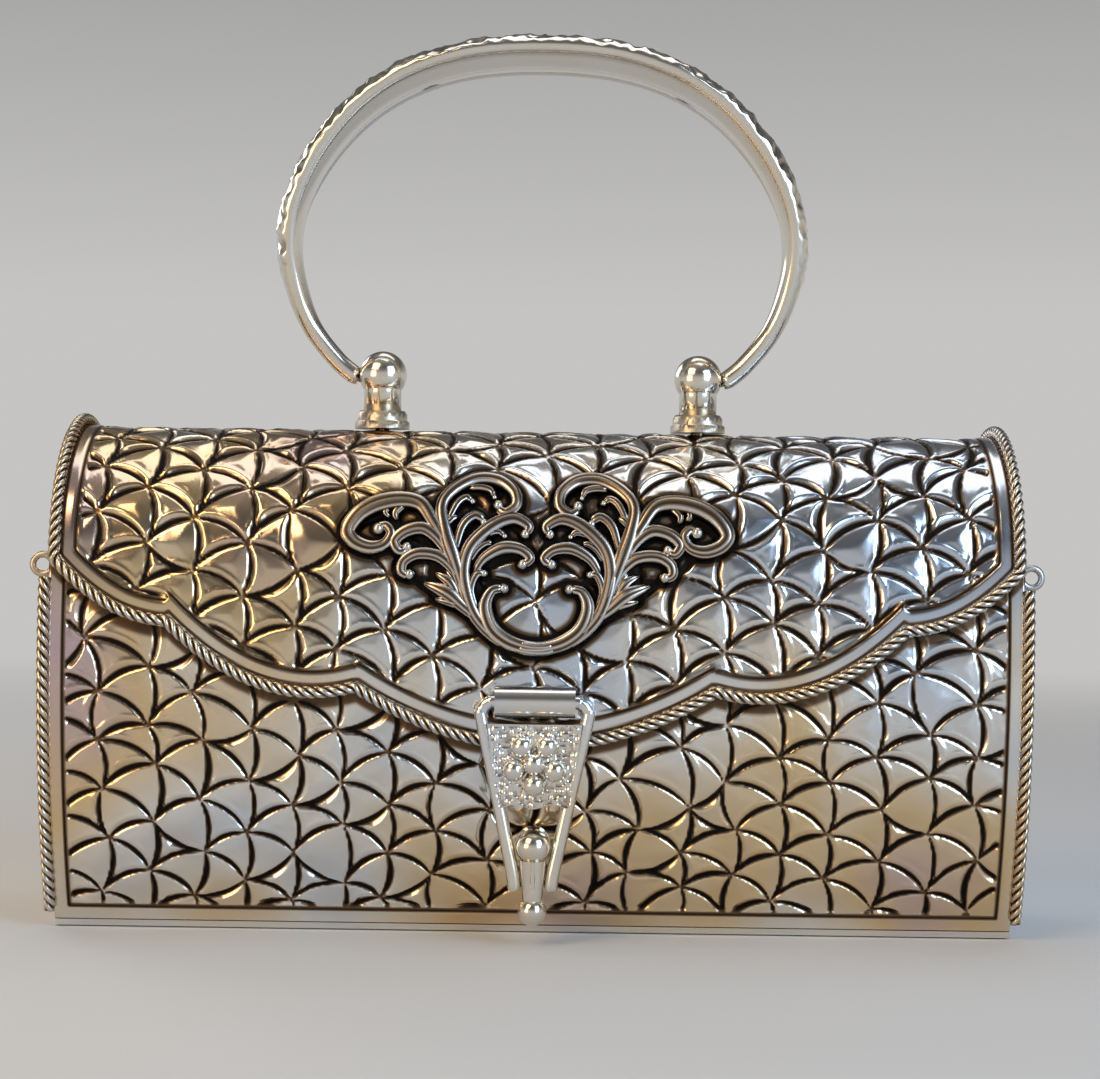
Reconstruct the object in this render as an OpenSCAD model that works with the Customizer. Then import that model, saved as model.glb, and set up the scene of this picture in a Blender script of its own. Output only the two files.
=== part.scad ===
// Silver box purse: chased wrap, rope trim, hinged lid, wire hasp and swing handle.
// Millimetres. X to the right, front faces -Y, Z up, underside at z = 0.

/* [Body] */
// width over the two cheeks
body_w = 196; // [160:1:230]
// depth at the belly
body_d = 58; // [50:1:72]
// height of the wrap at its crown
body_h = 102; // [97:0.2:112]
// radius of the front and back faces
face_r = 144; // [130:1:180]
// height of the belly line
belly_z = 57; // [52:1:60]
// thickness of the silver sheet
sheet_t = 1.2; // [1:0.1:1.5]
// top edge of the front panel
front_top_z = 84; // [81:0.5:88]
// top edge of the back panel
back_top_z = 77; // [75.5:0.5:78]
// gap left at soldered seams
seam = 0.05; // [0.02:0.01:0.1]

/* [Chasing] */
// width of one lattice column
cell_w = 9.7; // [8:0.1:14]
// length of one lattice row
cell_s = 11.2; // [9:0.1:14]
// depth of the chased grooves
groove = 0.6; // [0.2:0.05:0.7]
// sideways bow of the grooves
bow = 1.1; // [0:0.1:1.6]

/* [Rope] */
// radius of the twisted wire
rope_r = 1.2; // [0.8:0.05:1.3]
// length of one eighth turn of the twist
rope_step = 3; // [2.5:0.1:5]

/* [Lid] */
// running gap between lid and wrap
lid_gap = 0.3; // [0.25:0.05:0.6]
// how far the lid stays inside the cheeks on each side
lid_inset = 0.2; // [0.1:0.1:3]
// lowest point of the scalloped edge
edge_z = 38.4; // [34:0.2:42]
// cusps of the centre lobe: half spacing
cusp_x = 36; // [28:1:44]
// cusps of the centre lobe: height
cusp_z = 49.5; // [46:0.5:54]
// outer cusps: half spacing
wing_x = 74; // [64:1:82]
// outer cusps: height
wing_z = 62; // [58:0.5:66]
// corners of the lid: height
corner_z = 75; // [72:0.5:80]

/* [Hinge] */
// radius of the knuckle tubes
knuckle_r = 2.2; // [2:0.1:2.4]
// radius of the hinge pin
hinge_pin_r = 0.9; // [0.7:0.05:1]
// running clearance of all pins
run_gap = 0.05; // [0.02:0.01:0.1]
// height of the hinge axis
hinge_z = 76; // [75.5:0.1:76.5]
// half length of the hinge
hinge_half = 70; // [60:1:78]

/* [Clasp] */
// height of the hasp's axis
hasp_z = 48.2; // [47:0.2:50]
// outer radius of the hasp tube
tube_r = 3.1; // [2.8:0.05:3.4]
// length of the hasp tube
tube_l = 16; // [12:0.5:18]
// radius of the hasp's wire
wire_r = 1.35; // [1.1:0.05:1.4]
// height of the stud's upper ball
stud_z = 19.5; // [18:0.5:21]
// radius of the stud's upper ball
stud_r = 3.5; // [3:0.1:3.6]

/* [Handle] */
// half distance between the handle's posts
post_x = 33.6; // [28:0.2:40]
// height of the swing axis above the lid
post_h = 11.5; // [9:0.5:14]
// radius of the post balls
ball_r = 5.1; // [4.5:0.1:6]
// half width of the handle at its widest
handle_x = 53.6; // [50:0.2:62]
// height of the handle above its axis
handle_h = 68.5; // [62:0.5:80]
// half width of the band across the top
band_w = 12.5; // [8:0.5:14]

/* [Hidden] */
silver = [0.78, 0.76, 0.72];
arc_c = face_r - body_d / 2;
crown = body_h - belly_z;
top_r = (face_r * face_r - arc_c * arc_c - crown * crown) / (2 * (face_r - crown));
top_z = body_h - top_r;
join_a = asin((top_z - belly_z) / (face_r - top_r));
s_join = top_r * (90 - join_a) * PI / 180;
join_z = belly_z + face_r * sin(join_a);
lid_out = lid_gap + sheet_t;
lid_w = body_w - 2 * lid_inset;
lid_back_z = hinge_z + 3.6;
hinge_y = fold(-s_of(hinge_z), 0)[0] + knuckle_r + 0.37;
hasp_y = -(face_y(hasp_z, lid_out) + tube_r + seam);
stud_y = hasp_y;
axis_z = body_h + lid_out + post_h;
stem_r = 1.5;
swing_r = 1.5;
foot_z = sheet_t + seam;

// Shape of the wrap: (y, z) at arc length s from the crown, off the surface; front is positive.
function fold(s, off) = let(q = abs(s), d = s < 0 ? 1 : -1)
  q <= s_join
    ? let(t = q / top_r * 180 / PI) [d * (top_r + off) * sin(t), top_z + (top_r + off) * cos(t)]
    : let(t = join_a - (q - s_join) / face_r * 180 / PI)
      [d * ((face_r + off) * cos(t) - arc_c), belly_z + (face_r + off) * sin(t)];
function skin(x, s, off) = let(f = fold(s, off)) [x, f[0], f[1]];
function s_of(z) = z >= join_z
  ? top_r * acos((z - top_z) / top_r) * PI / 180
  : s_join + (join_a - asin((z - belly_z) / face_r)) * face_r * PI / 180;
function face_y(z, off) = sqrt(pow(face_r + off, 2) - pow(z - belly_z, 2)) - arc_c;
function unit(v) = v / norm(v);
function lobe(x, x0, z0, x1, z1, sag) = let(t = (x - x0) / (x1 - x0))
  z0 + (z1 - z0) * t - 4 * sag * t * (1 - t);

// Height of the lid's scalloped edge at x.
function scallop(x) = let(q = abs(x))
  q <= cusp_x ? lobe(q, -cusp_x, cusp_z, cusp_x, cusp_z, cusp_z - edge_z)
  : q <= wing_x ? lobe(q, cusp_x, cusp_z, wing_x, wing_z, 5.8)
  : lobe(q, wing_x, wing_z, lid_w / 2, corner_z, 3.2);
function spline(a, b, c, d, t) = 0.5 * (2 * b + (c - a) * t + (2 * a - 5 * b + 4 * c - d) * t * t
  + (3 * b - a - 3 * c + d) * t * t * t);
function smooth(p, q) = let(n = len(p) - 1)
  [for (i = [0 : n - 1], j = [0 : q - 1])
    spline(p[max(i - 1, 0)], p[i], p[i + 1], p[min(i + 2, n)], j / q), p[n]];

// A solid through a row of rings with the same count of points.
module loft(rings) {
  n = len(rings);
  m = len(rings[0]);
  polyhedron(points = [for (r = rings) each r], convexity = 8,
    faces = concat([[for (k = [0 : m - 1]) k]], [[for (k = [m - 1 : -1 : 0]) (n - 1) * m + k]],
      [for (i = [0 : n - 2], k = [0 : m - 1]) let(a = i * m + k, b = i * m + (k + 1) % m)
        each [[a, a + m, b + m], [a, b + m, b]]]));
}

// Twisted wire along a path; outs are the directions away from the sheet.
module rope(path, outs) {
  n = len(path) - 1;
  loft([for (i = [0 : n]) let(
      t = unit(path[min(i + 1, n)] - path[max(i - 1, 0)]),
      u = unit(outs[i] - t * (outs[i] * t)), v = cross(t, u))
    [for (k = [0 : 3]) let(a = 90 * k + 45 * i, q = k % 2 == 0 ? rope_r : 0.62 * rope_r)
      path[i] + q * (cos(a) * u + sin(a) * v)]]);
}

// Sheet on the wrap with the chased lattice of bowed grooves on its outer face.
module chased(w, s0, s1, off0, off1) {
  n = 2 * round(w / cell_w / 2);
  m = round((s1 - s0) / cell_s);
  p = (s1 - s0) / m;
  cw = w / n;
  v0 = (n + 1) * (m + 2);
  d0 = v0 + (n + 1) * (m + 1);
  c0 = d0 + n * (2 * m + 2);
  l0 = c0 + n * (2 * m + 1);
  r0 = l0 + 2 * m + 1;
  function spot(i, j) = [-w / 2 + i * cw,
    s0 + (i % 2 == 0 ? min(j, m) : min(max(j - 0.5, 0), m)) * p];
  function rim(q) = q[0] < -w / 2 + 0.01 || q[0] > w / 2 - 0.01
    || q[1] < s0 + 0.01 || q[1] > s1 - 0.01;
  function at(q, d) = skin(q[0], q[1], d);
  function mid(a, b) = let(c = (a + b) / 2, e = b - a, l = norm(e))
    rim(c) ? at(c, off1) : at(c + [e[1], -e[0]] * bow / p, off1 - groove);
  function even(i) = i % 2 == 0 ? i : i + 1;
  function odd(i) = i % 2 == 0 ? i + 1 : i;
  function diag(i, q) = let(j = floor(q / 2), a = spot(even(i), j), b = spot(odd(i), j + q % 2))
    a[0] < b[0] ? mid(a, b) : mid(b, a);
  function core(i, q) = let(j = floor(q / 2), a = spot(even(i), j),
      b = spot(odd(i), j + q % 2), c = q % 2 == 0 ? spot(odd(i), j + 1) : spot(even(i), j + 1))
    at((a + b + c) / 3, off1);
  function nn(i, j) = i * (m + 2) + j;
  function vv(i, j) = v0 + i * (m + 1) + j;
  function dd(i, q) = d0 + i * (2 * m + 2) + q;
  function fan(a, ab, b, bc, c, ca, o) =
    [[a, ab, o], [ab, b, o], [b, bc, o], [bc, c, o], [c, ca, o], [ca, a, o]];
  function tri(i, q) = let(j = floor(q / 2), e = even(i), o = odd(i), x = c0 + i * (2 * m + 1) + q)
    q % 2 == 0
    ? (e == i
      ? fan(nn(e, j), dd(i, q), nn(o, j), vv(o, j), nn(o, j + 1), dd(i, q + 1), x)
      : fan(nn(o, j), dd(i, q), nn(e, j), dd(i, q + 1), nn(o, j + 1), vv(o, j), x))
    : (e == i
      ? fan(nn(e, j), dd(i, q), nn(o, j + 1), dd(i, q + 1), nn(e, j + 1), vv(e, j), x)
      : fan(nn(e, j), vv(e, j), nn(e, j + 1), dd(i, q + 1), nn(o, j + 1), dd(i, q), x));
  function flank(i, q) = q % 2 == 0 ? nn(i, q / 2) : vv(i, (q - 1) / 2);
  pts = concat(
    [for (i = [0 : n], j = [0 : m + 1]) let(q = spot(i, j)) at(q, off1 - (rim(q) ? 0 : 0.3 * groove))],
    [for (i = [0 : n], j = [0 : m]) mid(spot(i, j), spot(i, j + 1) + [0, j == m && i % 2 == 0 ? p : 0])],
    [for (i = [0 : n - 1], q = [0 : 2 * m + 1]) diag(i, q)],
    [for (i = [0 : n - 1], q = [0 : 2 * m]) core(i, q)],
    [for (x = [-w / 2, w / 2], q = [0 : 2 * m]) at([x, s0 + q * p / 2], off0)]);
  faces = concat(
    [for (i = [0 : n - 1], q = [0 : 2 * m]) each tri(i, q)],
    [for (q = [0 : 2 * m - 1]) each [
      [l0 + q, l0 + q + 1, r0 + q + 1, r0 + q],
      [flank(0, q), flank(0, q + 1), l0 + q + 1, l0 + q],
      [r0 + q, r0 + q + 1, flank(n, q + 1), flank(n, q)]]],
    [[l0, r0, for (i = [2 * n : -1 : 0]) i % 2 == 0 ? nn(i / 2, 0) : dd((i - 1) / 2, 0)]],
    [[l0 + 2 * m, for (i = [0 : 2 * n]) i % 2 == 0
      ? nn(i / 2, (i / 2) % 2 == 0 ? m : m + 1) : dd((i - 1) / 2, 2 * m + 1), r0 + 2 * m]]);
  polyhedron(points = pts, faces = faces, convexity = 10);
}

// Wrap and ends of the body.
module front_panel() {
  color(silver) chased(body_w, s_of(front_top_z), s_of(foot_z), -sheet_t, 0);
}

module back_panel() {
  s0 = s_of(back_top_z);
  s1 = s_of(foot_z);
  pts = concat([for (i = [0 : 14]) fold(-s0 - (s1 - s0) * i / 14, 0)],
    [for (i = [14 : -1 : 0]) fold(-s0 - (s1 - s0) * i / 14, -sheet_t)]);
  color(silver) translate([-body_w / 2, 0, 0]) rotate([90, 0, 90]) linear_extrude(body_w) polygon(pts);
}

module base_plate() {
  d = face_y(foot_z, 0);
  color(silver) translate([-body_w / 2, -d, 0]) cube([body_w, 2 * d, sheet_t]);
}

module cheek(side) {
  sf = s_of(front_top_z) - 2 * seam;
  sb = s_of(back_top_z) - 2 * seam;
  sd = s_of(foot_z + 0.5);
  in = -sheet_t - seam;
  pts = concat([for (i = [0 : 8]) fold(sd + (sf - sd) * i / 8, in)],
    [for (i = [0 : 14]) fold(sf - (sf + sb) * i / 14, 0)],
    [for (i = [0 : 8]) fold(-sb - (sd - sb) * i / 8, in)],
    [[face_y(foot_z, 0) - 2 * sheet_t, foot_z], [2 * sheet_t - face_y(foot_z, 0), foot_z]]);
  color(silver) translate([side > 0 ? body_w / 2 - sheet_t : -body_w / 2, 0, 0])
    rotate([90, 0, 90]) linear_extrude(sheet_t) polygon(pts);
}
module left_cheek() cheek(-1);
module right_cheek() cheek(1);

module edge_rope(side) {
  s0 = s_of(corner_z - 7.5);
  s1 = s_of(foot_z + 2.4);
  n = round((s1 - s0) / rope_step);
  x = side * (body_w / 2 + 0.75 * rope_r + seam);
  path = [for (i = [0 : n]) skin(x, s0 + (s1 - s0) * i / n, 0.75 * rope_r)];
  color(silver) rope(path, [for (q = path) [side, 0, 0]]);
}
module left_edge_rope() edge_rope(-1);
module right_edge_rope() edge_rope(1);

module chain_eye(side) {
  color(silver) translate([side * (body_w / 2 + seam), 9 - body_d / 2, corner_z - 1]) rotate([0, side * 90, 0]) {
    cylinder(r = 2, h = 1, $fn = 24);
    translate([0, 0, 3]) rotate([90, 0, 0]) rotate_extrude($fn = 32) translate([2, 0]) circle(0.7, $fn = 16);
  }
}
module left_chain_eye() chain_eye(-1);
module right_chain_eye() chain_eye(1);

// Stud on the front panel: foot, post, ball, two-lobed barrel and lower ball in one casting.
module clasp_stud() {
  y0 = face_y(stud_z, 0);
  tilt = asin((stud_z - belly_z) / face_r);
  color(silver) union() {
    translate([0, -y0, stud_z]) rotate([90 - tilt, 0, 0]) translate([0, 0, seam])
      cylinder(r = 3.4, h = 1, $fn = 32);
    translate([0, -y0 - 0.5, stud_z]) rotate([90, 0, 0])
      cylinder(r = 1.6, h = -stud_y - y0 - 0.5, $fn = 24);
    translate([0, stud_y, stud_z]) sphere(stud_r, $fn = 48);
    for (k = [-1, 1]) translate([k * 1.05, stud_y, 0]) rotate_extrude($fn = 24)
      polygon([[0, stud_z - 2.7], [1, stud_z - 2.7], [1.5, stud_z - 4.2], [1.25, stud_z - 6.6],
        [0.75, stud_z - 8.6], [0, stud_z - 8.6]]);
    translate([0, stud_y, stud_z - 11.5]) cylinder(r = 1.25, h = 5, $fn = 24);
    translate([0, stud_y, stud_z - 12.8]) sphere(2.9, $fn = 40);
  }
}

// Lid hinge at the back: knuckle tubes with short leaves, and the pin.
module knuckle(x0, x1, leaf) {
  color(silver) difference() {
    union() {
      translate([x0, hinge_y, hinge_z]) rotate([0, 90, 0]) cylinder(r = knuckle_r, h = x1 - x0, $fn = 32);
      translate([x0, 0, 0]) rotate([90, 0, 90]) linear_extrude(x1 - x0) polygon(leaf);
    }
    translate([x0 - 1, hinge_y, hinge_z]) rotate([0, 90, 0])
      cylinder(r = hinge_pin_r + run_gap, h = x1 - x0 + 2, $fn = 32);
  }
}
function on_tube(a) = [hinge_y, hinge_z] + 1.6 * [cos(a), sin(a)];
module body_knuckle(x0, x1) {
  s0 = s_of(hinge_z - 1.2);
  knuckle(x0, x1, [fold(-s0 - 8, seam), fold(-s0 - 4, seam), fold(-s0, seam), on_tube(200),
    on_tube(290), fold(-s0 - 4, 0.85), fold(-s0 - 8, 0.85)]);
}
module lid_knuckle(x0, x1) {
  s0 = s_of(lid_back_z + 0.2);
  knuckle(x0, x1, [fold(-s0 + 5, lid_out + 0.85), fold(-s0 + 5, lid_out + seam),
    fold(-s0 + 2.5, lid_out + seam), fold(-s0, lid_out + seam), on_tube(150), on_tube(60),
    fold(-s0, lid_out + 0.85), fold(-s0 + 2.5, lid_out + 0.85)]);
}
module left_body_knuckle() body_knuckle(-hinge_half, -hinge_half + 24);
module middle_body_knuckle() body_knuckle(-12, 12);
module right_body_knuckle() body_knuckle(hinge_half - 24, hinge_half);
module left_lid_knuckle() lid_knuckle(24.3 - hinge_half, -12.3);
module right_lid_knuckle() lid_knuckle(12.3, hinge_half - 24.3);
module hinge_pin() {
  color(silver) translate([-hinge_half - 0.5, hinge_y, hinge_z]) rotate([0, 90, 0])
    cylinder(r = hinge_pin_r, h = 2 * hinge_half + 1, $fn = 24);
}

// Lid: chased sheet over the crown, cut to the scalloped edge, with holes for the posts.
module lid_shell() {
  xs = concat([for (i = [0 : 2]) -lid_w / 2 + (lid_w / 2 - wing_x) * i / 3],
    [for (i = [0 : 5]) -wing_x + (wing_x - cusp_x) * i / 6],
    [for (i = [0 : 11]) -cusp_x + 2 * cusp_x * i / 12],
    [for (i = [0 : 5]) cusp_x + (wing_x - cusp_x) * i / 6],
    [for (i = [0 : 3]) wing_x + (lid_w / 2 - wing_x) * i / 3]);
  color(silver) difference() {
    chased(lid_w, -s_of(lid_back_z), s_of(edge_z) + 4, lid_gap, lid_out);
    for (i = [0 : len(xs) - 2])
      hull() for (x = [xs[i], xs[i + 1]]) let(e = abs(x) > lid_w / 2 - 0.1 ? sign(x) : 0)
        translate([x + e, -body_d, 0]) cube([0.001, body_d - 20, scallop(x)]);
    for (k = [-1, 1]) translate([k * post_x, 0, body_h - 5])
      cylinder(r = stem_r + run_gap, h = 10, $fn = 16);
  }
}

module lid_rope() {
  x1 = lid_w / 2 - rope_r;
  sb = 2 - s_of(lid_back_z);
  sc = s_of(scallop(x1) + rope_r);
  ns = round((sc - sb) / rope_step);
  ne = round(2 * x1 / rope_step);
  flat = concat([for (i = [0 : ns]) [-x1, sb + (sc - sb) * i / ns]],
    [for (i = [1 : ne - 1]) let(x = -x1 + 2 * x1 * i / ne) [x, s_of(scallop(x) + rope_r)]],
    [for (i = [0 : ns]) [x1, sc - (sc - sb) * i / ns]]);
  color(silver) rope([for (q = flat) skin(q[0], q[1], lid_out + rope_r + seam)],
    [for (q = flat) skin(0, q[1], 1) - skin(0, q[1], 0)]);
}

// Applied ornament: control points are (x from the centre line, z, half width).
strokes = [
  [[6.6, 70.4, 0.8], [9, 69.9, 1], [10.3, 66.8, 1.3], [9, 62.7, 1.5], [5.9, 60.1, 1.5],
    [1.8, 58.8, 1.4], [-0.6, 58.5, 1.3]],
  [[4, 59, 0.9], [8, 60.6, 1.1], [12.1, 64.7, 1.2], [14.2, 69.9, 1.3], [14.7, 75.1, 1.3],
    [13.2, 80.2, 1.3], [9, 84.4, 1.3], [4.9, 85.9, 1.2], [1.8, 84.4, 1], [2.3, 82.8, 0.8]],
  [[12.6, 73.6, 0.7], [10.6, 77.1, 1], [7, 79.5, 1.2], [3.4, 79.2, 1.1], [1.4, 77.1, 1], [2.8, 75.6, 0.8]],
  [[11.9, 65.8, 0.7], [13.2, 69.9, 0.8], [12.1, 73.3, 0.8], [10.6, 73.5, 0.7]],
  [[11.4, 64, 0.9], [14.6, 67, 1.6], [18, 69.9, 2.2], [22.8, 71.4, 0.8]],
  [[13.6, 66.4, 0.8], [15.6, 73, 1.2], [17.2, 78.4, 1.6], [18.6, 83, 1.5], [19.4, 88, 1.2],
    [17.3, 91.1, 1.2], [12.7, 93.4, 1.3], [8, 93.2, 1.3], [4.9, 91.1, 1.2], [4.4, 88.5, 1.1],
    [6.5, 87, 1], [8.3, 88, 0.8]],
  [[17.8, 79.6, 0.9], [20.9, 84.9, 1.2], [24, 88.8, 1.4], [29.7, 90.1, 1.6], [35.4, 88, 1.6],
    [38, 83.9, 1.5], [36.9, 80.8, 1.4], [33.8, 79.2, 1.3], [30.7, 80, 1.1], [29.4, 82.8, 1],
    [30.5, 84.9, 0.9], [32.2, 84.4, 0.8]],
  [[17.4, 77.1, 0.8], [19.9, 81.3, 1.1], [23, 83.6, 1.2], [26.6, 83.1, 1.2], [28.6, 80.8, 1.1],
    [27.6, 78.6, 1], [26.1, 79.2, 0.8]],
  [[15.4, 72, 0.8], [17.8, 75.6, 1.1], [20.4, 77.6, 1.2], [24, 77.9, 1.2], [26.6, 76.2, 1.1],
    [27.1, 73.8, 1], [25.6, 72.7, 0.8]],
  [[16.6, 78, 0.7], [15.2, 84, 0.9], [12.7, 86.4, 0.9], [10.6, 85.4, 0.8]]];
knobs = [[6.6, 70.4, 1.3], [2.5, 82.6, 1.3], [2.9, 75.7, 1.4], [10.6, 73.5, 1.1], [8, 88.4, 1.5],
  [32, 84, 1.6], [26.1, 79.4, 1.4], [25.5, 73.1, 1.4], [10.8, 85, 1.2]];
module stroke(ctrl, side) {
  p = smooth(ctrl, 2);
  n = len(p) - 1;
  flat = [for (q = p) [side * q[0], s_of(q[1])]];
  o0 = lid_out + seam;
  loft([for (i = [0 : n]) let(t = unit(flat[min(i + 1, n)] - flat[max(i - 1, 0)]),
      v = [-t[1], t[0]], r = p[i][2], h = 0.7 + 1.2 * r)
    [for (k = [[0.4 * r, h], [r, 0], [-r, 0], [-0.4 * r, h]])
      let(q = flat[i] + v * k[0]) skin(q[0], q[1], o0 + k[1])]]);
}
module scroll_ornament() {
  color(silver) union() for (side = [-1, 1]) {
    for (c = strokes) stroke(c, side);
    for (k = knobs) let(s = s_of(k[1]), o = lid_out + seam, a = skin(side * k[0], s, o),
        b = skin(side * k[0], s, o + 1.5 * k[2]), e = b - a)
      hull() translate(a) rotate([acos(unit(e)[2]), 0, 0])
        cylinder(r1 = 1.1 * k[2], r2 = 0.6 * k[2], h = 1.8 * k[2], $fn = 6);
  }
}

// Hasp: tube on the lid, spring wire through it, plate and flower soldered to the wire.
module hasp_tube() {
  color(silver) translate([-tube_l / 2, hasp_y, hasp_z]) rotate([0, 90, 0]) difference() {
    cylinder(r = tube_r, h = tube_l, $fn = 40);
    translate([0, 0, -1]) cylinder(r = wire_r + run_gap, h = tube_l + 2, $fn = 40);
  }
}
module hasp_wire() {
  xa = tube_l / 2 + 2.6;
  half = [[0, 0], [tube_l / 2, 0], [tube_l / 2 + 0.9, -0.15], [tube_l / 2 + 1.9, -0.75],
    [xa - 0.1, -1.8], [xa, -3], [xa - 2.4, -14], [xa - 4.9, -26], [xa - 6.6, -34], [xa - 7, -37.6]];
  n = len(half) - 1;
  path = concat([for (i = [n : -1 : 1]) [-half[i][0], half[i][1]]], half);
  m = len(path) - 1;
  color(silver) loft([for (i = [0 : m]) let(t = unit(path[min(i + 1, m)] - path[max(i - 1, 0)]))
    [for (k = [0 : 11]) let(a = 30 * k, r = (i == 0 || i == m) ? wire_r * 0.8 : wire_r)
      [path[i][0] + r * sin(a) * t[1], hasp_y - r * cos(a), hasp_z + path[i][1] - r * sin(a) * t[0]]]]);
}
module hasp_plate() {
  color(silver) translate([0, hasp_y - wire_r - seam, hasp_z]) rotate([90, 0, 0])
    linear_extrude(0.9) polygon([[-9.4, -4.3], [9.4, -4.3], [7.3, -21], [-7.3, -21]]);
}
module bead(x, z, r) {
  y = hasp_y - wire_r - 0.9 - 2 * seam;
  a0 = asin(0.35);
  color(silver) translate([x, y, hasp_z + z]) rotate([90, 0, 0]) rotate_extrude($fn = 32)
    polygon(concat([[0, 0]], [for (i = [0 : 7]) let(a = (90 + a0) * i / 8 - a0)
      [r * cos(a), max(0, r * (0.35 + sin(a)))]], [[0, 1.35 * r]]));
}
module flower_centre() bead(0, -12, 2.3);
module petal(k) bead(5 * sin(36 + 72 * k), -12 + 5 * cos(36 + 72 * k), 2.2);
module petal_1() petal(0);
module petal_2() petal(1);
module petal_3() petal(2);
module petal_4() petal(3);
module petal_5() petal(4);

// Posts on the lid: collar, ball with neck and stem, nut inside.
module collar(side) {
  color(silver) translate([side * post_x, 0, body_h + lid_out + seam]) difference() {
    rotate_extrude($fn = 40) polygon([[0, 0], [5.8, 0], [5.8, 1.4], [5.3, 1.8], [5.3, 3], [4.8, 3.8], [0, 3.8]]);
    translate([0, 0, -1]) cylinder(r = stem_r + run_gap, h = 6, $fn = 24);
  }
}
module left_collar() collar(-1);
module right_collar() collar(1);
module post(side) {
  z0 = body_h + lid_out + 2 * seam + 3.8;
  color(silver) difference() {
    union() {
      translate([side * post_x, 0, axis_z]) sphere(ball_r, $fn = 48);
      translate([side * post_x, 0, z0]) cylinder(r = 4, h = axis_z - z0, $fn = 28);
      translate([side * post_x, 0, body_h - 2.6]) cylinder(r = stem_r, h = z0 - body_h + 3, $fn = 24);
    }
    translate([side * (post_x + 0.8), 0, axis_z]) rotate([0, side * 90, 0])
      cylinder(r = swing_r + run_gap, h = ball_r + 1, $fn = 32);
  }
}
module left_post() post(-1);
module right_post() post(1);
module nut(side) {
  color(silver) translate([side * post_x, 0, body_h + lid_gap - 0.35 - 2.2]) difference() {
    cylinder(r = 3.6, h = 2.2, $fn = 6);
    translate([0, 0, -1]) cylinder(r = stem_r + run_gap, h = 5, $fn = 24);
  }
}
module left_nut() nut(-1);
module right_nut() nut(1);

// Handle: hollow band over the top, tapering to rods whose pins turn in the post balls.
module handle() {
  kx = handle_x / 57.2;
  kz = handle_h / 70;
  x0 = post_x + ball_r + 0.5;
  ctrl = [[x0 + 0.6, 0, 2, 2], [46.4 * kx, 3.3 * kz, 2, 2], [52 * kx, 10 * kz, 2.5, 2.1],
    [55.5 * kx, 18 * kz, 4.2, 2.4], [57.2 * kx, 27.4 * kz, 6.4, 2.6], [55.7 * kx, 37.3 * kz, 8.4, 2.8],
    [50.2 * kx, 48 * kz, band_w - 2.4, 3], [41.5 * kx, 57.6 * kz, band_w - 1.2, 3],
    [30.5 * kx, 64.6 * kz, band_w - 0.4, 3], [16.5 * kx, 68.8 * kz, band_w, 3]];
  n = len(ctrl) - 1;
  both = concat([for (i = [0 : n]) [-ctrl[i][0], ctrl[i][1], ctrl[i][2], ctrl[i][3]]],
    [[0, handle_h, band_w, 3]], [for (i = [n : -1 : 0]) ctrl[i]]);
  p = smooth(both, 2);
  m = len(p) - 1;
  function ring(q, t, b) = [for (k = [0 : 11]) let(a = 30 * k, c = sin(a),
      e = q[3] * c + (c > 0.4 ? b * q[2] / band_w : 0))
    [q[0] - t[1] * e, -q[2] * cos(a), axis_z + q[1] + t[0] * e]];
  pin = [x0 - 4, 0, swing_r, swing_r];
  neck = [x0, 0, swing_r, swing_r];
  shoulder = [x0, 0, 2, 2];
  function flip(q) = [-q[0], q[1], q[2], q[3]];
  color(silver) loft(concat(
    [for (q = [flip(pin), flip(neck), flip(shoulder)]) ring(q, [-1, 0], 0)],
    [for (i = [0 : m]) let(d = p[min(i + 1, m)] - p[max(i - 1, 0)], t = unit([d[0], d[1]]))
      ring(p[i], i == 0 || i == m ? [-1, 0] : t, i % 2 == 0 ? 0.5 : -0.2)],
    [for (q = [shoulder, neck, pin]) ring(q, [-1, 0], 0)]));
}

front_panel();
back_panel();
base_plate();
left_cheek();
right_cheek();
left_edge_rope();
right_edge_rope();
clasp_stud();
left_chain_eye();
right_chain_eye();
left_body_knuckle();
middle_body_knuckle();
right_body_knuckle();
hinge_pin();
lid_shell();
lid_rope();
scroll_ornament();
hasp_tube();
left_collar();
right_collar();
left_post();
right_post();
left_nut();
right_nut();
left_lid_knuckle();
right_lid_knuckle();
hasp_wire();
hasp_plate();
flower_centre();
petal_1();
petal_2();
petal_3();
petal_4();
petal_5();
handle();
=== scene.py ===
"""Dresses the silver box purse: chased sheets, rope trim, scrollwork, clasp, handle and studio."""

import logging
import math
from abc import ABC, abstractmethod
from dataclasses import dataclass, field
from enum import Enum

import bpy
import numpy as np
from bpy.types import Material, NodeSocket, NodeTree, Object
from mathutils import Matrix, Vector


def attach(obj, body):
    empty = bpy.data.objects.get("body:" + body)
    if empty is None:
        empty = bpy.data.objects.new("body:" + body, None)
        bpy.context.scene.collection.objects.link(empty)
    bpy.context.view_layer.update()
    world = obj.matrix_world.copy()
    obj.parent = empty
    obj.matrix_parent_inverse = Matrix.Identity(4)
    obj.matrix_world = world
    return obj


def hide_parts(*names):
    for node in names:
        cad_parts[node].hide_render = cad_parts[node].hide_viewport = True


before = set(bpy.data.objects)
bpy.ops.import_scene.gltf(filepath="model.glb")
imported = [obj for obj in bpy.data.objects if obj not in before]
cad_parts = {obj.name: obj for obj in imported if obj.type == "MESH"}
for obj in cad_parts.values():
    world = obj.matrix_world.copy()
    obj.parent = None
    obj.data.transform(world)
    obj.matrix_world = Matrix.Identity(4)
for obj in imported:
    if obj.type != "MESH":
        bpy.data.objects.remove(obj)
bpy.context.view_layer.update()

LOG = logging.getLogger("purse")
MM = 0.001
SEED = 7
FAR = 9.0
Array = np.ndarray
Colour = tuple[float, float, float]


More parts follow.
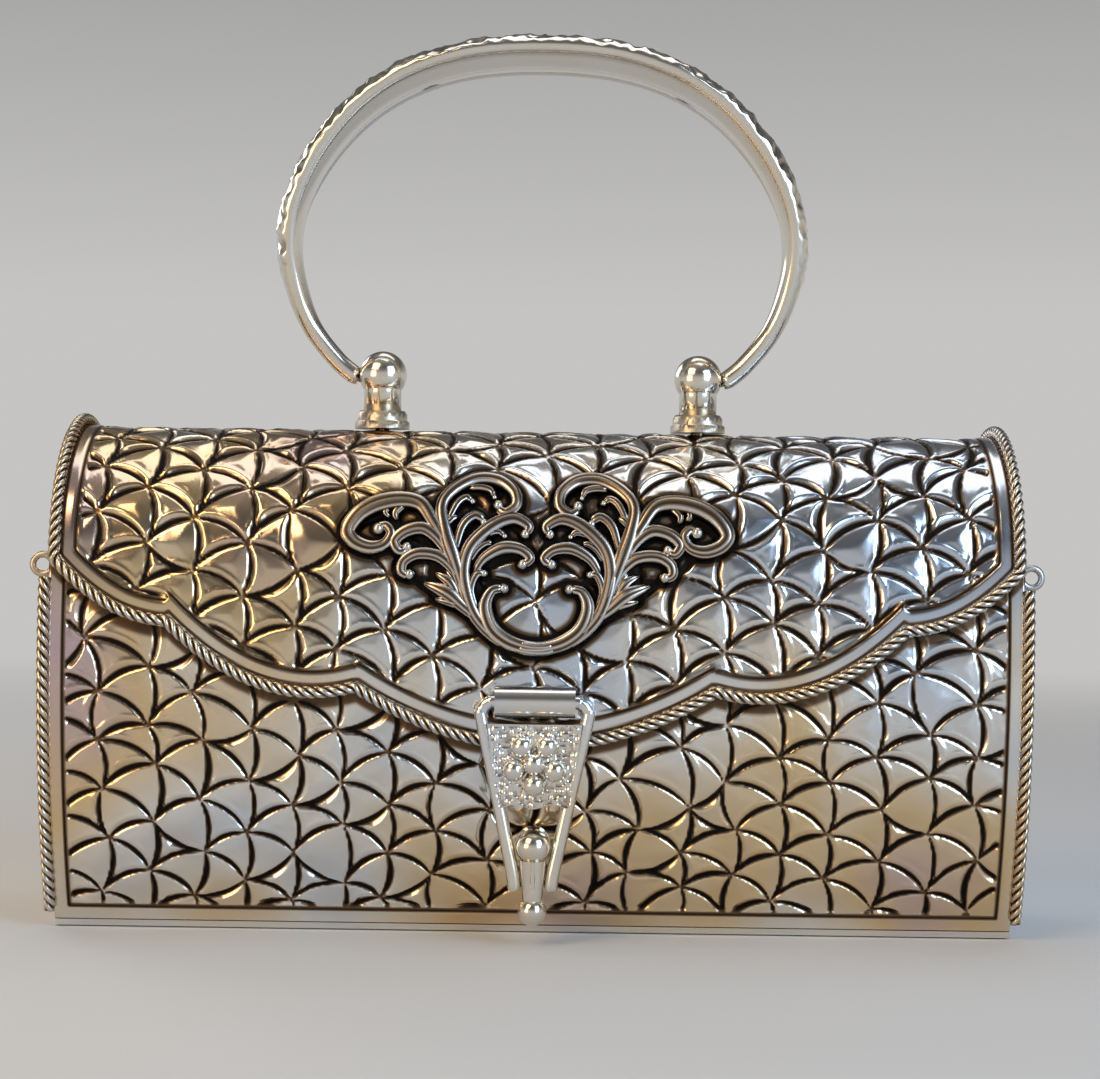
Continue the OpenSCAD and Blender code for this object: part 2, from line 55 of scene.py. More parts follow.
class Body(Enum):
    """Rigid bodies of the frame."""

    PURSE = "purse_body"
    LID = "lid"
    HASP = "hasp"
    HANDLE = "handle"


class Twist(Enum):
    """Hand of a rope's strands."""

    LEFT = -1.0
    RIGHT = 1.0


@dataclass(frozen=True)
class Wrap:
    """Profile of the wrap in millimetres, as in the part's source."""

    depth: float = 58.0
    height: float = 102.0
    face_r: float = 144.0
    belly_z: float = 57.0

    @property
    def arc_c(self) -> float:
        """Distance of the face's centre behind the middle plane."""
        return self.face_r - self.depth / 2

    @property
    def top_r(self) -> float:
        """Radius of the crown."""
        crown = self.height - self.belly_z
        return (self.face_r**2 - self.arc_c**2 - crown**2) / (2 * (self.face_r - crown))

    @property
    def top_z(self) -> float:
        """Height of the crown's centre."""
        return self.height - self.top_r

    @property
    def join(self) -> float:
        """Angle at which crown and face meet, in radians."""
        return math.asin((self.top_z - self.belly_z) / (self.face_r - self.top_r))

    @property
    def s_join(self) -> float:
        """Arc length from the crown's top to the joint of the arcs."""
        return self.top_r * (math.pi / 2 - self.join)

    def fold(self, s: Array, off: Array | float) -> tuple[Array, Array]:
        """Point of the profile.

        Args:
            s: Arc length from the top, positive to the front.
            off: Distance outside the wrap.

        Returns:
            y and z.
        """
        s = np.asarray(s, float)
        q, d = np.abs(s), np.where(s < 0, 1.0, -1.0)
        t = q / self.top_r
        f = self.join - (q - self.s_join) / self.face_r
        on_top = q <= self.s_join
        y = np.where(on_top, (self.top_r + off) * np.sin(t), (self.face_r + off) * np.cos(f) - self.arc_c)
        z = np.where(on_top, self.top_z + (self.top_r + off) * np.cos(t),
                     self.belly_z + (self.face_r + off) * np.sin(f))
        return d * y, z

    def s_of(self, z: Array | float) -> Array:
        """Arc length at which the front has a height.

        Args:
            z: Height.

        Returns:
            Arc length from the crown's top.
        """
        z = np.asarray(z, float)
        join_z = self.belly_z + self.face_r * math.sin(self.join)
        top = self.top_r * np.arccos(np.clip((z - self.top_z) / self.top_r, -1, 1))
        face = self.s_join + (self.join - np.arcsin(np.clip((z - self.belly_z) / self.face_r, -1, 1))) * self.face_r
        return np.where(z >= join_z, top, face)

    def skin(self, x: Array, s: Array, off: Array | float) -> Array:
        """Points at x and s, off outside the wrap, as rows of x, y and z."""
        y, z = self.fold(s, off)
        return np.stack(np.broadcast_arrays(np.asarray(x, float), y, z), axis=-1)


WRAP = Wrap()
LID_GAP, SHEET = 0.3, 1.2
LID_OUT = LID_GAP + SHEET
LID_HALF, BODY_HALF = 97.8, 98.0
LID_BACK_Z, FRONT_TOP_Z, BACK_TOP_Z, FOOT_Z = 79.6, 84.0, 78.9, 1.25
EDGE_Z, CUSP_X, CUSP_Z, WING_X, WING_Z, CORNER_Z = 38.4, 36.0, 49.5, 74.0, 62.0, 75.0
SAGS = (11.1, 5.8, 3.2)
ROPE_R = 1.2
EDGE_ROPE_TOP, EDGE_ROPE_FOOT = 71.5, 3.65
HASP_Y, HASP_Z = -33.384, 48.2
SWING_Z = 115.0


def scallop(x: Array | float) -> Array:
    """Height of the lid's scalloped edge.

    Args:
        x: Positions across.

    Returns:
        Heights of the edge there.
    """
    q = np.abs(np.asarray(x, float))

    def lobe(x0: float, z0: float, x1: float, z1: float, sag: float) -> Array:
        """One hanging lobe between two cusps."""
        t = (q - x0) / (x1 - x0)
        return z0 + (z1 - z0) * t - 4 * sag * t * (1 - t)

    mid = lobe(-CUSP_X, CUSP_Z, CUSP_X, CUSP_Z, SAGS[0])
    wing = lobe(CUSP_X, CUSP_Z, WING_X, WING_Z, SAGS[1])
    corner = lobe(WING_X, WING_Z, LID_HALF, CORNER_Z, SAGS[2])
    return np.where(q <= CUSP_X, mid, np.where(q <= WING_X, wing, corner))


def lengths(path: Array) -> Array:
    """Arc length at each point of a path."""
    return np.concatenate([[0], np.cumsum(np.linalg.norm(np.diff(path, axis=0), axis=1))])


def smooth(ctrl: Array, count: int) -> Array:
    """Catmull-Rom curve through control points of any dimension.

    Args:
        ctrl: Control points, one a row.
        count: Steps between two control points.

    Returns:
        The points of the curve.
    """
    c = np.asarray(ctrl, float)
    n = len(c) - 1
    out = []
    for i in range(n):
        a, b, d, e = c[max(i - 1, 0)], c[i], c[i + 1], c[min(i + 2, n)]
        for t in np.arange(count) / count:
            out.append(0.5 * (2 * b + (d - a) * t + (2 * a - 5 * b + 4 * d - e) * t**2
                              + (3 * b - a - 3 * d + e) * t**3))
    return np.array(out + [c[n]])


def unit(v: Array) -> Array:
    """Rows scaled to length one."""
    return v / np.maximum(np.linalg.norm(v, axis=-1, keepdims=True), 1e-9)


def turn(sides: int) -> Array:
    """Angles round a ring."""
    return np.linspace(0, 2 * math.pi, sides, endpoint=False)


def step(x: Array, low: float, high: float) -> Array:
    """Smooth step from 0 at low to 1 at high."""
    t = np.clip((x - low) / (high - low), 0, 1)
    return t * t * (3 - 2 * t)


def lumps(u: Array, v: Array, cell: float, seed: int) -> Array:
    """Smooth random field of lumps.

    Args:
        u: Positions one way.
        v: Positions the other way, of the same shape.
        cell: Size of a lump.
        seed: Number that picks the field.

    Returns:
        Values from -1 to 1.
    """
    side = 64
    table = np.random.default_rng(seed).uniform(-1, 1, (side, side))
    gu, gv = u / cell, v / cell
    iu, iv = np.floor(gu).astype(int), np.floor(gv).astype(int)
    fu, fv = step(gu - iu, 0, 1), step(gv - iv, 0, 1)
    low = table[iu % side, iv % side] * (1 - fu) + table[(iu + 1) % side, iv % side] * fu
    high = table[iu % side, (iv + 1) % side] * (1 - fu) + table[(iu + 1) % side, (iv + 1) % side] * fu
    return low * (1 - fv) + high * fv


@dataclass
class Builder:
    """Collects vertices in millimetres, faces and the oxide_and_shade value of each vertex: real oxide, and painted
    shade in some places.
    """

    name: str

    def __post_init__(self) -> None:
        """Starts empty."""
        self.verts: list[Array] = []
        self.oxide_and_shade: list[Array] = []
        self.faces: list[tuple[int, ...]] = []
        self.count = 0

    def add(self, verts: Array, oxide_and_shade: Array | float = 0.0) -> int:
        """Adds vertices.

        Args:
            verts: Points, with the three coordinates last.
            oxide_and_shade: Value for each point, or fewer that spread over all.

        Returns:
            Index of the first.
        """
        first = self.count
        flat = verts.reshape(-1, 3)
        self.verts.append(flat)
        self.oxide_and_shade.append(np.broadcast_to(np.asarray(oxide_and_shade, float), verts.shape[:-1]).reshape(-1))
        self.count += len(flat)
        return first

    def tube(self, rings: Array, oxide_and_shade: Array | float = 0.0, closed: bool = True) -> None:
        """Skins rings of equal count and caps both ends.

        Args:
            rings: Points as (ring, side, 3).
            oxide_and_shade: Value for each point, or fewer that spread over all.
            closed: False leaves the ends open.
        """
        n, m = rings.shape[:2]
        o = self.add(rings, oxide_and_shade)
        k = np.arange(m)
        for i in range(n - 1):
            a = o + i * m
            nxt = (k + 1) % m
            self.faces += [tuple(f) for f in np.stack([a + k, a + m + k, a + m + nxt, a + nxt], 1).tolist()]
        if closed:
            for row, turn in ((0, 1), (n - 1, -1)):
                mid = rings[row].mean(axis=0)
                c = self.add(mid[None])
                for j in range(m):
                    p, q = o + row * m + j, o + row * m + (j + 1) % m
                    self.faces.append((c, p, q) if turn > 0 else (c, q, p))

    def make(self, body: Body, nodes: tuple[str, ...], material: Material,
             crease: float = math.pi) -> None:
        """Makes the piece, shades it smooth and ties it to its body.

        Args:
            body: Body that it rides on.
            nodes: CAD nodes that it stands for.
            material: Finish.
            crease: Angle in radians past which an edge stays sharp.
        """
        mesh = bpy.data.meshes.new(self.name)
        mesh.from_pydata((np.concatenate(self.verts) * MM).tolist(), [], self.faces)
        mesh.validate()
        layer = mesh.attributes.new("oxide_and_shade", "FLOAT", "POINT")
        layer.data.foreach_set("value", np.concatenate(self.oxide_and_shade).astype(np.float32))
        obj = bpy.data.objects.new(self.name, mesh)
        bpy.context.scene.collection.objects.link(obj)
        mesh.materials.append(material)
        settle(obj, body, nodes)
        obj.select_set(True)
        bpy.ops.object.shade_smooth_by_angle(angle=crease)
        obj.select_set(False)


def edit_all(obj: Object) -> None:
    """Selects one piece alone and opens it in edit mode with everything selected."""
    bpy.ops.object.select_all(action="DESELECT")
    bpy.context.view_layer.objects.active = obj
    obj.select_set(True)
    bpy.ops.object.mode_set(mode="EDIT")
    bpy.ops.mesh.select_all(action="SELECT")


def settle(obj: Object, body: Body, nodes: tuple[str, ...]) -> None:
    """Recalculates normals, rides the piece on its body and reports it.

    Args:
        obj: The piece.
        body: Body that it rides on.
        nodes: CAD nodes that it stands for.
    """
    edit_all(obj)
    bpy.ops.mesh.normals_make_consistent(inside=False)
    bpy.ops.object.mode_set(mode="OBJECT")
    obj.select_set(False)
    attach(obj, body.value)
    if nodes:
        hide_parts(*nodes)
    LOG.info("%s: %d faces", obj.name, len(obj.data.polygons))


def spread(tree: NodeTree, source: NodeSocket, span: tuple[float, float],
           to: tuple[float, float] = (0.0, 1.0)) -> NodeSocket:
    """Maps a value from one range to another.

    Args:
        tree: Nodes of the material.
        source: The value.
        span: Range that it is read in.
        to: Range that it is turned into.

    Returns:
        The mapped value.
    """
    node = tree.nodes.new("ShaderNodeMapRange")
    for name, value in zip(("From Min", "From Max", "To Min", "To Max"), (*span, *to)):
        node.inputs[name].default_value = value
    tree.links.new(source, node.inputs["Value"])
    return node.outputs["Result"]


def ramp(tree: NodeTree, source: NodeSocket,
         tones: tuple[tuple[float, Colour], ...]) -> NodeSocket:
    """Turns a value into a colour.

    Args:
        tree: Nodes of the material.
        source: The value.
        tones: Places and colours of the ramp.

    Returns:
        The colour.
    """
    node = tree.nodes.new("ShaderNodeValToRGB")
    stops = node.color_ramp.elements
    while len(stops) < len(tones):
        stops.new(0.5)
    for stop, (at, tone) in zip(stops, tones):
        stop.position, stop.color = at, (*tone, 1.0)
    tree.links.new(source, node.inputs["Fac"])
    return node.outputs["Color"]


@dataclass(frozen=True)
class Silver:
    """Polished silver with broad tarnish, blackened where the oxide_and_shade attribute says so, which holds real oxide
    and some painted shade.

    Fields: bright to warm are colours; rough and dull are the polish of bright and black places; overlay is the share
    of the fine warm tarnish, painted_lamp_slant how far the left end turns to gold as a painted reflection of a warm
    lamp, grain the depth of the fine scratches.
    """

    name: str
    bright: Colour = (0.78, 0.76, 0.72)
    cool: Colour = (0.59, 0.67, 0.79)
    gold: Colour = (0.74, 0.55, 0.31)
    mauve: Colour = (0.60, 0.47, 0.50)
    brown: Colour = (0.20, 0.125, 0.07)
    dark: Colour = (0.012, 0.010, 0.009)
    warm: Colour = (0.70, 0.57, 0.40)
    rough: float = 0.17
    dull: float = 0.55
    stain: float = 0.35
    painted_lamp_slant: float = 0.11
    grain: float = 0.02

    def build(self) -> Material:
        """Makes the material.

        Returns:
            A node material on Object coordinates and the oxide_and_shade attribute.
        """
        mat = bpy.data.materials.new(self.name)
        mat.use_nodes = True
        tree = mat.node_tree
        nodes, links = tree.nodes, tree.links
        shader = nodes["Principled BSDF"]
        shader.inputs["Metallic"].default_value = 1.0
        place = nodes.new("ShaderNodeTexCoord").outputs["Object"]

        def noise(scale: float, detail: float) -> NodeSocket:
            """Noise on the piece's own coordinates."""
            node = nodes.new("ShaderNodeTexNoise")
            node.inputs["Scale"].default_value, node.inputs["Detail"].default_value = scale, detail
            links.new(place, node.inputs["Vector"])
            return node.outputs["Fac"]

        def cover(under: NodeSocket, share: NodeSocket, colour: Colour) -> NodeSocket:
            """Lays a colour over another by a share."""
            node = nodes.new("ShaderNodeMix")
            node.data_type = "RGBA"
            node.inputs["B"].default_value = (*colour, 1.0)
            links.new(share, node.inputs["Factor"])
            links.new(under, node.inputs["A"])
            return node.outputs["Result"]

        side = nodes.new("ShaderNodeSeparateXYZ")
        links.new(place, side.inputs["Vector"])
        tone = nodes.new("ShaderNodeMath")
        links.new(noise(17.0, 2.0), tone.inputs[0])
        # Painted reflection: the tone shifts towards gold at the left end. This stands in for a warm lamp's reflection.
        links.new(spread(tree, side.outputs["X"], (-0.1, 0.1), (self.painted_lamp_slant, -self.painted_lamp_slant)), tone.inputs[1])
        bloom = ramp(tree, tone.outputs["Value"],
                     ((0.34, self.cool), (0.46, self.bright), (0.58, self.gold), (0.72, self.mauve)))
        tint = cover(bloom, spread(tree, noise(55.0, 5.0), (0.42, 0.72), (0.0, self.stain)), self.warm)
        # The attribute darkens by real oxide in the hollows, and by painted shade: painted shadows under the lid edge
        # and round the ornament, and painted darkness in the vents.
        oxide_and_shade = nodes.new("ShaderNodeAttribute")
        oxide_and_shade.attribute_name = "oxide_and_shade"
        flank = spread(tree, oxide_and_shade.outputs["Fac"], (0.08, 0.42))
        core = spread(tree, oxide_and_shade.outputs["Fac"], (0.36, 0.82))
        links.new(cover(cover(tint, flank, self.brown), core, self.dark), shader.inputs["Base Color"])
        links.new(spread(tree, core, (0.0, 1.0), (self.rough, self.dull)), shader.inputs["Roughness"])
        bump = nodes.new("ShaderNodeBump")
        bump.inputs["Strength"].default_value = self.grain
        bump.inputs["Distance"].default_value = 0.0004
        links.new(noise(900.0, 3.0), bump.inputs["Height"])
        links.new(bump.outputs["Normal"], shader.inputs["Normal"])
        return mat


@dataclass
class Lattice:
    """Hand-chased triangular lattice of bowed strokes.

    Fields: half, s0 and s1 bound it; cell_w and cell_s size a cell; bow to tip shape a stroke; jitter to rising vary
    it; swell and ripple are the sheet's unevenness; sink, dip and reach the hollow round the strokes; depth is their
    cut, ridge, lip_at and lip_w the burr beside it.
    """

    half: float
    s0: float
    s1: float
    cell_w: float = 9.7
    cell_s: float = 11.2
    bow: float = 1.2
    wide: float = 1.35
    steep: float = 0.55
    thin: float = 0.05
    tip: float = 0.36
    jitter: float = 0.8
    flips: float = 0.12
    weights: tuple[float, float] = (0.72, 1.05)
    strong: float = 1.2
    faint: float = 0.9
    rising: float = -9.0
    swell: float = 0.15
    ripple: float = 0.03
    sink: float = 0.1
    dip: float = 0.45
    reach: float = 2.9
    depth: float = 0.45
    ridge: float = 0.27
    lip_at: float = 0.3
    lip_w: float = 0.5

    @property
    def rows(self) -> int:
        """Rows between the two ends."""
        return round((self.s1 - self.s0) / self.cell_s)

    @property
    def pitch(self) -> float:
        """Length of a row."""
        return (self.s1 - self.s0) / self.rows

    def edges(self) -> list[tuple[Array, Array, float, float]]:
        """Strokes of the lattice.

        Returns:
            Start, end, side of the bow and weight of each stroke, in x and s.
        """
        n = 2 * round(self.half / self.cell_w)
        m, pitch = self.rows, self.pitch
        rng = np.random.default_rng(SEED)
        shift = rng.normal(0, self.jitter, (n + 1, m + 2, 2))

        def spot(i: int, j: int) -> Array:
            """Node j of column i, as x and s."""
            row = min(j, m) if i % 2 == 0 else min(max(j - 0.5, 0), m)
            x, s = -self.half + i * 2 * self.half / n, self.s0 + row * pitch
            drift = (math.sin(s / 13 + 0.7) + 0.8 * math.sin(x / 31 + s / 19),
                     math.sin(x / 21 + s / 37) + 0.7 * math.sin(x / 9.5 + 1.3))
            return np.array([x, s]) + drift + shift[i, j]

        found = []
        for i in range(1, n):
            found += [(spot(i, j), spot(i, j + 1)) for j in range(m + i % 2)]
        for i in range(n):
            even, odd = (i, i + 1) if i % 2 == 0 else (i + 1, i)
            for j in range(m + 1):
                for k in (j, j + 1):
                    pair = (spot(even, j), spot(odd, k))
                    found.append(pair if even < odd else pair[::-1])
        return [(a, b, -1.0 if rng.random() < self.flips else 1.0,
                 rng.uniform(*self.weights) * (self.strong if np.prod(b - a) < self.rising else self.faint))
                for a, b in found]

    def carve(self, x: Array, s: Array) -> tuple[Array, Array, Array]:
        """Relief of the strokes at points.

        Args:
            x: Positions across.
            s: Positions along the wrap.

        Returns:
            Cut from 0 to 1, raised lip from 0 to 1, and distance to the nearest stroke.
        """
        cut, lip, near = np.zeros_like(x), np.zeros_like(x), np.full_like(x, FAR)
        for a, b, side, weight in self.edges():
            e = b - a
            size = float(np.hypot(*e))
            if size < 1:
                continue
            low, high = np.minimum(a, b) - 5, np.maximum(a, b) + 5
            idx = np.nonzero((x > low[0]) & (x < high[0]) & (s > low[1]) & (s < high[1]))
            px, ps = x[idx] - a[0], s[idx] - a[1]
            u = (px * e[0] + ps * e[1]) / size**2
            v = (px * e[1] - ps * e[0]) / size
            uc = np.clip(u, 0, 1)
            arc = 4 * uc * (1 - uc)
            d = (v - side * self.bow * size / self.pitch * arc) * side
            over = np.abs(u - uc) * size
            taper = arc**self.tip
            inside = over <= 0
            w1 = weight * self.wide * taper + self.thin
            w2 = self.steep * weight * self.wide * taper + self.thin
            g = np.clip(np.where(d > 0, 1 - d / w1, 1 + d / w2), 0, 1) * inside
            g = g * g * (3 - 2 * g) * (0.25 + 0.75 * taper)
            cut[idx] = np.maximum(cut[idx], g)
            lip[idx] = np.maximum(lip[idx], np.exp(-(((d - w1 - self.lip_at) / self.lip_w) ** 2)) * taper * inside)
            near[idx] = np.minimum(near[idx], np.hypot(d, over))
        return cut, lip, near

    def relief(self, x: Array, s: Array) -> tuple[Array, Array]:
        """Chased surface at points.

        Args:
            x: Positions across.
            s: Positions along the wrap.

        Returns:
            Height over the plain sheet, and oxide.
        """
        cut, lip, near = self.carve(x, s)
        uneven = self.swell * lumps(x, s, 8.5, SEED + 2) + self.ripple * lumps(x, s, 2.6, SEED + 3)
        hollow = self.dip * np.exp(-((near / self.reach) ** 2))
        return uneven - self.sink - hollow - self.depth * cut + self.ridge * lip, step(cut, 0.1, 0.9)


@dataclass
class Sheet(ABC):
    """A sheet on the wrap: chased outer face, coarse inner face and closed rims.

    Fields: start is the arc length of its upper edge; off_in and off_out are its faces' distances from the wrap; margin
    is the plain border, line_w and line_deep its line; grid is the size of a square, coarse how many of them the inner
    face joins, tarnish that face's oxide.
    """

    name: str
    node: str
    body: Body
    half: float
    start: float
    off_in: float
    off_out: float
    margin: float
    grid: float
    lattice: Lattice
    coarse: int = 8
    line_w: float = 0.36
    line_deep: float = 0.35
    tarnish: float = 0.14

    @abstractmethod
    def end(self, x: Array) -> Array:
        """Arc length of the lower edge at x."""

    @abstractmethod
    def stain(self, x: Array, s: Array, rim: Array) -> Array:
        """Extra darkening besides the strokes, at x and s, rim away from the edge: real oxide and painted shadow."""

    def build(self, material: Material) -> None:
        """Makes the sheet.

        Args:
            material: Finish.
        """
        k = self.coarse
        flat = np.linspace(-self.half, self.half, k * round(2 * self.half / self.grid / k) + 1)
        high = self.end(flat)
        rows = np.linspace(0, 1, k * round((high.max() - self.start) / self.grid / k) + 1)
        x = np.broadcast_to(flat[:, None], (len(flat), len(rows)))
        s = self.start + (high[:, None] - self.start) * rows
        lean = 1 / np.sqrt(1 + np.gradient(high, flat) ** 2)
        rim = np.minimum(self.half - np.abs(x), (high[:, None] - s) * lean[:, None])
        line = np.exp(-(((rim - self.margin) / self.line_w) ** 2))
        mask = step(rim, self.margin + 0.2, self.margin + 0.9)
        relief, black = self.lattice.relief(x, s)
        height = -self.line_deep * line + mask * relief
        oxide_and_shade = np.maximum(0.95 * line, mask * black)
        # Adds each sheet's extra darkening, which includes painted shadows.
        oxide_and_shade = np.clip(np.maximum(oxide_and_shade, self.stain(x, s, rim)), 0, 1)
        made = Builder(self.name)
        outer = WRAP.skin(x, s, self.off_out + height)
        inner = WRAP.skin(x[::k, ::k], s[::k, ::k], self.off_in)
        o, i = made.add(outer, oxide_and_shade), made.add(inner, self.tarnish)
        nx, ns = x.shape
        mx, ms = inner.shape[:2]
        a = (i + np.arange(mx - 1)[:, None] * ms + np.arange(ms - 1)).reshape(-1)
        made.faces += [tuple(f) for f in np.stack([a, a + ms, a + ms + 1, a + 1], 1).tolist()]
        made.faces += self.facets(o, height)
        loop_o = self.loop(o, nx, ns)
        loop_i = self.loop(i, mx, ms)
        for j, p in enumerate(loop_i):
            q = loop_i[(j + 1) % len(loop_i)]
            run = [loop_o[(j * k + t) % len(loop_o)] for t in range(k + 1)]
            half = k // 2
            made.faces += [(run[t], run[t + 1], p if t < half else q) for t in range(k)]
            made.faces.append((run[half], q, p))
        made.make(self.body, (self.node,), material)

    @staticmethod
    def facets(first: int, height: Array) -> list[tuple[int, ...]]:
        """Triangles of a grid, each square split along the line that is more level, so that strokes stay clean.

        Args:
            first: Index of the grid's first vertex.
            height: Relief at the grid's points.

        Returns:
            The triangles.
        """
        cols, ranks = height.shape
        a = (first + np.arange(cols - 1)[:, None] * ranks + np.arange(ranks - 1)).reshape(-1)
        b, c, d = a + ranks, a + ranks + 1, a + 1
        level = np.abs(height[:-1, :-1] - height[1:, 1:]) <= np.abs(height[1:, :-1] - height[:-1, 1:])
        rows = level.reshape(-1)
        pairs = [(a, b, c, rows), (a, c, d, rows), (a, b, d, ~rows), (b, c, d, ~rows)]
        return [tuple(f) for p, q, r, pick in pairs for f in np.stack([p[pick], q[pick], r[pick]], 1).tolist()]

    @staticmethod
    def loop(first: int, cols: int, ranks: int) -> list[int]:
        """Indices round the border of a grid of vertices."""
        at = first + np.arange(cols)[:, None] * ranks + np.arange(ranks)
        return [*at[:-1, 0], *at[-1, :-1], *at[:0:-1, -1], *at[0, :0:-1]]


@dataclass
class LidSheet(Sheet):
    """The lid's sheet, cut to its scalloped edge and blackened behind the ornament with oxide and a painted contact
    shadow.
    """

    spray: Array = field(kw_only=True)

    def end(self, x: Array) -> Array:
        """Arc length of the scalloped edge at x."""
        return WRAP.s_of(scallop(x))

    def stain(self, x: Array, s: Array, rim: Array) -> Array:
        """A dark line along the rope's foot, and blackening round the ornament that is oxide with a painted contact
        shadow.

        Args:
            x: Positions across.
            s: Positions along the wrap.
            rim: Distances from the sheet's edge.

        Returns:
            Darkening there.
        """
        # Dark line along the inner side of the rope.
        foot = 0.8 * np.exp(-(((rim - 2 * ROPE_R - 0.15) / 0.3) ** 2))
        # Blackening round the ornament: oxide with a painted contact shadow.
        gap = np.full_like(x, FAR)
        for px, ps, r in self.spray:
            idx = np.nonzero((np.abs(x - px) < 6) & (np.abs(s - ps) < 6))
            gap[idx] = np.minimum(gap[idx], np.hypot(x[idx] - px, s[idx] - ps) - r)
        return np.maximum(foot, 1 - 0.95 * step(gap, 0.3, 2.3))


@dataclass
class FrontSheet(Sheet):
    """The front of the wrap, with a painted shadow where the lid's edge lies on it."""

    def end(self, x: Array) -> Array:
        """Arc length of the foot at x."""
        return np.full_like(x, WRAP.s_of(FOOT_Z))

    def stain(self, x: Array, s: Array, rim: Array) -> Array:
        """Painted shadow of the lid along its scalloped edge."""
        # Painted shadow: a dark band just under the lid's edge, standing in for the shade it casts.
        below = s - WRAP.s_of(scallop(x))
        return 0.62 * step(below, -3.0, -0.5) * step(-below, -3.3, -1.3)


@dataclass
class BackSheet:
    """The plain back of the wrap."""

    rows: int = 41
    cols: int = 9
    crease: float = math.radians(40)

    def build(self, material: Material) -> None:
        """Makes the plain sheet from one coarse grid.

        Args:
            material: Finish.
        """
        s = np.linspace(-float(WRAP.s_of(BACK_TOP_Z)), -float(WRAP.s_of(FOOT_Z)), self.rows)
        x = np.linspace(-BODY_HALF, BODY_HALF, self.cols)
        made = Builder("back_sheet")
        outer = WRAP.skin(x[:, None], s, 0.0)
        inner = WRAP.skin(x[:, None], s, -SHEET)
        rings = np.concatenate([outer, inner[:, ::-1]], axis=1)
        made.tube(rings, closed=False)
        side = rings.shape[1]
        for o in (0, (len(x) - 1) * side):
            made.faces += [(o + k, o + k + 1, o + side - 2 - k, o + side - 1 - k) for k in range(len(s) - 1)]
        made.make(Body.PURSE, ("back_panel",), material, self.crease)


@dataclass
class Rope:
    """Round wires twisted together along a path.

    Fields: path and outs are its middle and outward directions; pitch is the length of a turn, pace that of a ring;
    lay and thick are a strand's distance from the middle and its radius, as shares of the rope's radius.
    """

    name: str
    node: str
    body: Body
    path: Array
    outs: Array
    twist: Twist
    pitch: float = 6.3
    strands: int = 3
    sides: int = 8
    lay: float = 0.48
    thick: float = 0.58
    pace: float = 0.45

    def build(self, material: Material) -> None:
        """Makes the strands as one piece.

        Args:
            material: Finish.
        """
        run = lengths(self.path)
        at = np.linspace(0, run[-1], int(run[-1] / self.pace))
        path = np.stack([np.interp(at, run, c) for c in self.path.T], 1)
        outs = np.stack([np.interp(at, run, c) for c in self.outs.T], 1)
        t = unit(np.gradient(path, axis=0))
        for _ in range(6):
            t[1:-1] = unit(t[:-2] + t[1:-1] + t[2:])
        u = unit(outs - t * np.sum(outs * t, axis=1, keepdims=True))
        v = np.cross(t, u)
        made = Builder(self.name)
        a = turn(self.sides)
        for strand in range(self.strands):
            ph = self.twist.value * 2 * math.pi * at / self.pitch + 2 * math.pi * strand / self.strands
            side = np.cos(ph)[:, None] * u + np.sin(ph)[:, None] * v
            cross = np.cross(t, side)
            mid = path + self.lay * ROPE_R * side
            rings = mid[:, None] + self.thick * ROPE_R * (
                np.cos(a)[None, :, None] * side[:, None] + np.sin(a)[None, :, None] * cross[:, None])
            dark = 0.75 * step(-np.cos(a), -0.35, 0.2)
            made.tube(rings, dark)
        made.make(self.body, (self.node,), material)


